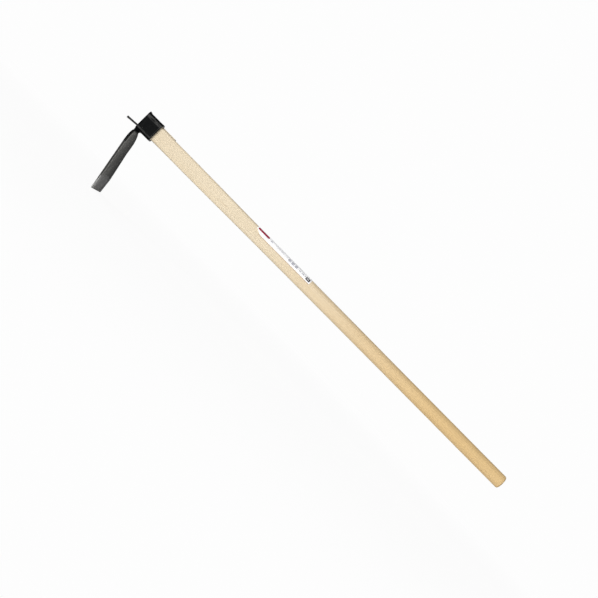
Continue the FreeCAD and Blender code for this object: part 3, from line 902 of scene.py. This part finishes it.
def ground_steel(name):
    """The steel at the cutting edge: fine grinding lines, painted shade near the weld, a painted
    highlight at one corner.
    """
    g = Graph(bpy.data.materials.new(name))
    place, _, across, down = blade_axes(g)
    lines = g.noise(place, (90, 5200, 90), 3.0, 0.7)
    cloud = g.noise(place, (80, 80, 80), 4.0, 0.6, offset=(1, 2, 7))
    stain = g.remap(g.noise(place, (230, 230, 230), 4.0, 0.65, offset=(4, 0, 6)), 0.58, 0.75)
    colour = g.mix(g.remap(lines, 0.3, 0.7), (0.16, 0.16, 0.157), (0.28, 0.28, 0.275))
    colour = g.mix(g.times(g.remap(cloud, 0.35, 0.7), 0.35), colour, (0.14, 0.135, 0.13))
    colour = g.mix(g.times(stain, 0.35), colour, (0.10, 0.08, 0.06))
    # painted shade: the edge steel darkened towards the weld line
    shade_near_weld = g.remap(down, 0.134, 0.110)
    colour = g.mix(g.times(shade_near_weld, 0.75), colour, (0.15, 0.15, 0.145))
    # painted highlight: a bright patch at the cutting edge's -Y corner
    corner = g.times(g.remap(across, -0.026, -0.056), g.remap(down, 0.112, 0.136))
    colour = g.mix(g.times(corner, 0.7), colour, (0.68, 0.68, 0.66))
    # painted shade: the edge steel darkened towards its +Y side
    colour = g.mix(painted_side_shade(g, across), colour, (0.012, 0.012, 0.0115))
    rough = g.remap(cloud, 0.3, 0.7, 0.40, 0.52)
    normal = g.bump(lines, 0.2, 0.00004)
    return g.surface(colour, rough, 0.35, normal, Specular_IOR_Level=0.2)


def wedge_iron(name):
    """Dark bar iron, bright and bruised at the struck end."""
    g = Graph(bpy.data.materials.new(name))
    place, axis = g.axes()
    cloud = g.noise(place, (150, 150, 150), 5.0, 0.6)
    fine = g.noise(place, (1100, 1100, 1100), 3.0, 0.6, offset=(3, 3, 3))
    colour = g.mix(cloud, (0.012, 0.0117, 0.0113), (0.034, 0.0335, 0.032))
    rust = g.remap(g.noise(place, (330, 330, 330), 4.0, 0.7, offset=(8, 2, 5)), 0.60, 0.72)
    colour = g.mix(g.times(rust, 0.35), colour, (0.10, 0.05, 0.026))
    struck = g.times(g.remap(axis[0], -0.0270, -0.0281), g.remap(cloud, 0.35, 0.6))
    colour = g.mix(g.times(struck, 0.5), colour, (0.30, 0.30, 0.29))
    rough = g.remap(fine, 0.3, 0.7, 0.38, 0.58)
    height = g.plus(g.times(cloud, 0.6), g.times(fine, 0.4))
    return g.surface(colour, rough, 0.4, g.bump(height, 0.3, 0.00012), Specular_IOR_Level=0.3)


# plain bars in the place of the label's print: middle x, middle z, half length, half height (mm)
RED_BAR = (341.5, 13.8, 15.5, 1.9)
GREY_BARS = [(365.0, 12.6, 2.6, 1.3), (388.0, 13.3, 12.0, 0.35), (398.0, 11.9, 15.0, 0.35),
             (418.0, 11.6, 3.6, 2.6), (427.5, 11.6, 3.6, 2.6), (437.0, 11.6, 3.6, 2.6),
             (449.0, 11.2, 2.6, 1.0), (457.0, 11.2, 3.6, 1.0), (464.0, 11.2, 1.8, 1.0)]
BLACK_BOX = (472.0, 10.4, 5.4, 3.0)
BOX_CENTRE = (472.0, 10.6, 3.0, 1.1)


def label_paper(name):
    """White paper with plain bars in two greys, red and black; the far side is blank."""
    g = Graph(bpy.data.materials.new(name))
    place, axis = g.axes()
    near_side = g.math("LESS_THAN", axis[1], 0.0)

    def bar(middle_x, middle_z, half_x, half_z):
        """1 inside a bar on the label's -Y side, with rounded corners."""
        dx = g.math("DIVIDE", g.minus(axis[0], middle_x * MM), half_x * MM)
        dz = g.math("DIVIDE", g.minus(axis[2], middle_z * MM), half_z * MM)
        power = 8.0 if half_x < 3 * half_z else 16.0
        inside = g.plus(g.math("POWER", g.math("ABSOLUTE", dx), power),
                        g.math("POWER", g.math("ABSOLUTE", dz), 6.0))
        return g.times(g.math("LESS_THAN", inside, 1.0), near_side)

    fibres = g.noise(place, (600, 600, 600), 4.0, 0.7)
    cloud = g.noise(place, (40, 40, 40), 2.0)
    colour = g.mix(g.remap(cloud, 0.3, 0.7), rgb(243, 243, 246), rgb(250, 250, 250))
    colour = g.mix(g.times(fibres, 0.08), colour, (0.55, 0.52, 0.46))
    for size in GREY_BARS:
        faint = 0.35 if size[3] < 0.5 else 0.62
        colour = g.mix(g.times(bar(*size), faint), colour, rgb(120, 122, 140))
    colour = g.mix(bar(*BLACK_BOX), colour, rgb(24, 25, 29))
    colour = g.mix(g.times(bar(*BOX_CENTRE), 0.9), colour, rgb(205, 206, 210))
    colour = g.mix(bar(*RED_BAR), colour, rgb(158, 34, 62))
    normal = g.bump(fibres, 0.15, 0.0001)
    return g.surface(colour, g.remap(cloud, 0.3, 0.7, 0.42, 0.55), normal=normal)


# ---------------------------------------------------------------- the hoe

handle_wood = wood("handle_wood", rgb(223, 209, 184), rgb(216, 186, 136), fibre_streak_and_label_shadow=True)
shim_wood = wood("shim_wood", rgb(208, 198, 180), rgb(208, 198, 180), (0.012, 0.055), 1.2)
paint = black_paint("black_paint", gloss=0.0)
strap_paint = black_paint("strap_paint", bend_highlights=True)
bead_paint = black_paint("bead_paint", gloss=0.03)

piece(handle_mesh(), handle_wood, "handle")
piece(shim_mesh(), shim_wood, "packing_shim")
piece(label_mesh(), label_paper("label_paper"), "label")
piece(ring_mesh(), strap_paint, "socket_ring")
piece(seam_bead(), bead_paint, "ring_seam_weld")
piece(neck_mesh(), paint, "neck")
piece(neck_bead(), bead_paint, "neck_weld")
piece(blade_bead(), bead_paint, "blade_weld")
piece(plate_mesh(), forged_steel("forged_steel"), "blade_plate")
piece(steel_mesh(), ground_steel("edge_steel"), "edge_steel")
piece(wedge_mesh(), wedge_iron("wedge_iron"), "wedge", body="wedge")

# ---------------------------------------------------------------- surroundings

# metres from here on
CAMERA_PLACE = (0.4873, -2.65, -0.0304)
CAMERA_ROLL, CAMERA_LENS = math.radians(45.33), 77.44
FLOOR_Z = -0.1708             # just under the blade's lowest point
FLOOR_SIZE = 60.0
PURE_WHITE = (1, 1, 1, 1)
WHITE = 0.984                 # how bright the background is to the camera
TABLE_GLOW = 0.25             # the floor is a dim light table: it lifts the hoe's underside
FLOOR_SHADING = 0.07          # how much of the shaded floor shows around the hoe


def floor():
    """A wide pale floor. The camera sees it as mostly plain white, with a trace of real shading
    near the hoe that fades out with distance; the other rays see a dimly glowing diffuse surface.
    """
    bpy.ops.mesh.primitive_plane_add(size=FLOOR_SIZE, location=(CAMERA_PLACE[0], 0, FLOOR_Z))
    obj = bpy.context.active_object
    obj.name = "studio_floor"
    g = Graph(bpy.data.materials.new("studio_floor"))
    place, axis = g.axes()
    speck = g.noise(place, (90, 90, 90), 3.0)
    tone = g.mix(speck, (0.86, 0.86, 0.855), (0.90, 0.90, 0.895))
    diffuse = g.add("BsdfDiffuse", {"Color": tone}).outputs[0]
    table = g.add("Emission", {"Color": PURE_WHITE, "Strength": TABLE_GLOW}).outputs[0]
    lit = g.add("AddShader", {0: diffuse, 1: table}).outputs[0]
    glow = g.add("Emission", {"Color": PURE_WHITE, "Strength": WHITE}).outputs[0]
    far = g.length(axis[0], axis[1])
    fade = g.remap(far, 0.7, 2.2, 1.0 - FLOOR_SHADING, 1.0, smooth=True)
    seen = g.times(g.add("LightPath").outputs["Is Camera Ray"], fade)
    shader = g.add("MixShader", {0: seen, 1: lit, 2: glow}).outputs[0]
    g.add("OutputMaterial", {"Surface": shader})
    obj.data.materials.append(g.owner)


def surroundings():
    """Pure white to the camera; to all else a soft grey room, dimmer overhead and towards -Y."""
    world = bpy.data.worlds.new("studio")
    bpy.context.scene.world = world
    g = Graph(world)
    direction = g.add("SeparateXYZ", {0: g.add("TexCoord").outputs["Generated"]}).outputs
    by_height = g.remap(direction[2], -0.2, 1.0, 0.42, 0.20)
    by_side = g.remap(direction[1], -1.0, -0.3, 0.30, 1.0)
    room = g.add("Background", {"Color": PURE_WHITE, "Strength": g.times(by_height, by_side)}).outputs[0]
    white = g.add("Background", {"Color": PURE_WHITE, "Strength": WHITE}).outputs[0]
    seen = g.add("LightPath").outputs["Is Camera Ray"]
    g.add("OutputWorld", {"Surface": g.add("MixShader", {0: seen, 1: room, 2: white}).outputs[0]})


def area_light(name, place, target, size, power):
    data = bpy.data.lights.new(name, "AREA")
    data.shape, data.size, data.energy = "DISK", size, power
    obj = bpy.data.objects.new(name, data)
    bpy.context.scene.collection.objects.link(obj)
    obj.location = place
    aim = Vector(target) - Vector(place)
    obj.rotation_euler = aim.to_track_quat("-Z", "Y").to_euler()


def sun_light(name, direction, angle, strength):
    """Even light from a direction, as soft as a disc that spans this many degrees."""
    data = bpy.data.lights.new(name, "SUN")
    data.energy, data.angle = strength, math.radians(angle)
    obj = bpy.data.objects.new(name, data)
    bpy.context.scene.collection.objects.link(obj)
    obj.rotation_euler = Vector(direction).to_track_quat("Z", "Y").to_euler()


def camera():
    """The photograph's viewpoint: level with the hoe, rolled so that the handle falls to the right."""
    cos, sin = math.cos(CAMERA_ROLL), math.sin(CAMERA_ROLL)
    data = bpy.data.cameras.new("camera")
    data.lens, data.sensor_width = CAMERA_LENS, 36.0
    data.clip_end = 100.0
    obj = bpy.data.objects.new("camera", data)
    bpy.context.scene.collection.objects.link(obj)
    turned = Matrix(((cos, -sin, 0), (0, 0, -1), (sin, cos, 0))).to_4x4()
    obj.matrix_world = Matrix.Translation(CAMERA_PLACE) @ turned
    bpy.context.scene.camera = obj


floor()
surroundings()
sun_light("key", (-0.62, -0.80, 0.22), 30.0, 2.6)
sun_light("back", (-0.60, 0.75, 0.30), 30.0, 1.3)
area_light("front", (0.45, -2.4, 0.72), (0.1, 0, 0), 0.55, 6.0)
camera()
bpy.context.scene.view_settings.view_transform = "Standard"
